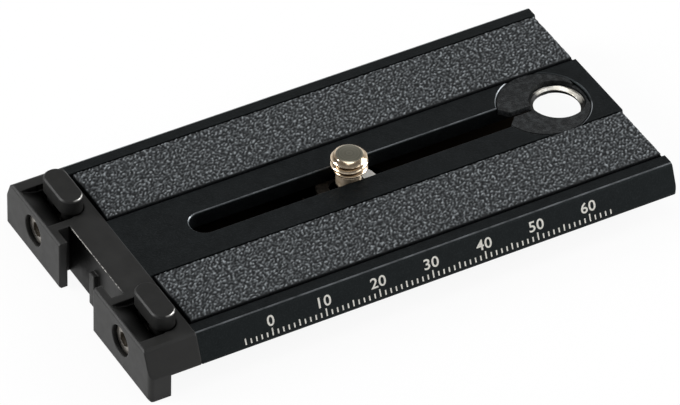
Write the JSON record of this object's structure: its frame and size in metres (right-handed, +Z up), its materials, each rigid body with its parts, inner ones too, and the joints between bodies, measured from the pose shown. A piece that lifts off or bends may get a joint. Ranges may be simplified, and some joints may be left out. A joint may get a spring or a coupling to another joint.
{
  "type": "camera sliding plate",
  "caption": "Long quick-release camera plate with dovetail sides, a slot for a sliding camera screw, rubber grip strips and an end cap with stop lugs.",
  "frame": {"origin": "middle of the plate's outline, on the plane of its underside", "axes": "+Z up through the top face that the camera rests on, +X along the plate from the end cap to the round hole, Y across the plate"},
  "size_m": [0.0996, 0.051, 0.0135],
  "materials": {
    "black_metal": "black anodised, fine satin",
    "black_plastic": "moulded black plastic, fine grain",
    "grip_rubber": "pebbled dark grey rubber",
    "cap_metal": "dark grey paint on a casting, semi-matt",
    "lug_metal": "dark grey, semi-gloss, rubbed bright at the edge",
    "bright_steel": "turned bright steel",
    "nickel_steel": "nickel plated"
  },
  "bodies": {
    "plate": {"base_plate": "black_metal", "screw_retainer": "black_plastic", "grip_strip_far": "grip_rubber", "grip_strip_near": "grip_rubber", "end_cap": "cap_metal", "cap_screw_far": "bright_steel", "cap_screw_near": "bright_steel"},
    "washer": {"screw_washer": "bright_steel"},
    "screw": {"camera_screw": "nickel_steel"},
    "lug_far": {"stop_lug_far": "lug_metal"},
    "lug_near": {"stop_lug_near": "lug_metal"}
  },
  "joints": [
    {"name": "screw_slide", "type": "slide", "parent": "plate", "child": "washer", "axis": [1, 0, 0], "range_m": [-0.0271, 0.029]},
    {"name": "screw_turn", "type": "hinge", "parent": "washer", "child": "screw", "pos_m": [0.00115, 0, 0.0058], "axis": [0, 0, 1], "continuous": true},
    {"name": "lug_far_slide", "type": "slide", "parent": "plate", "child": "lug_far", "axis": [0, 0, 1], "range_m": [-0.0027, 0]},
    {"name": "lug_near_slide", "type": "slide", "parent": "plate", "child": "lug_near", "axis": [0, 0, 1], "range_m": [-0.0027, 0]}
  ]
}
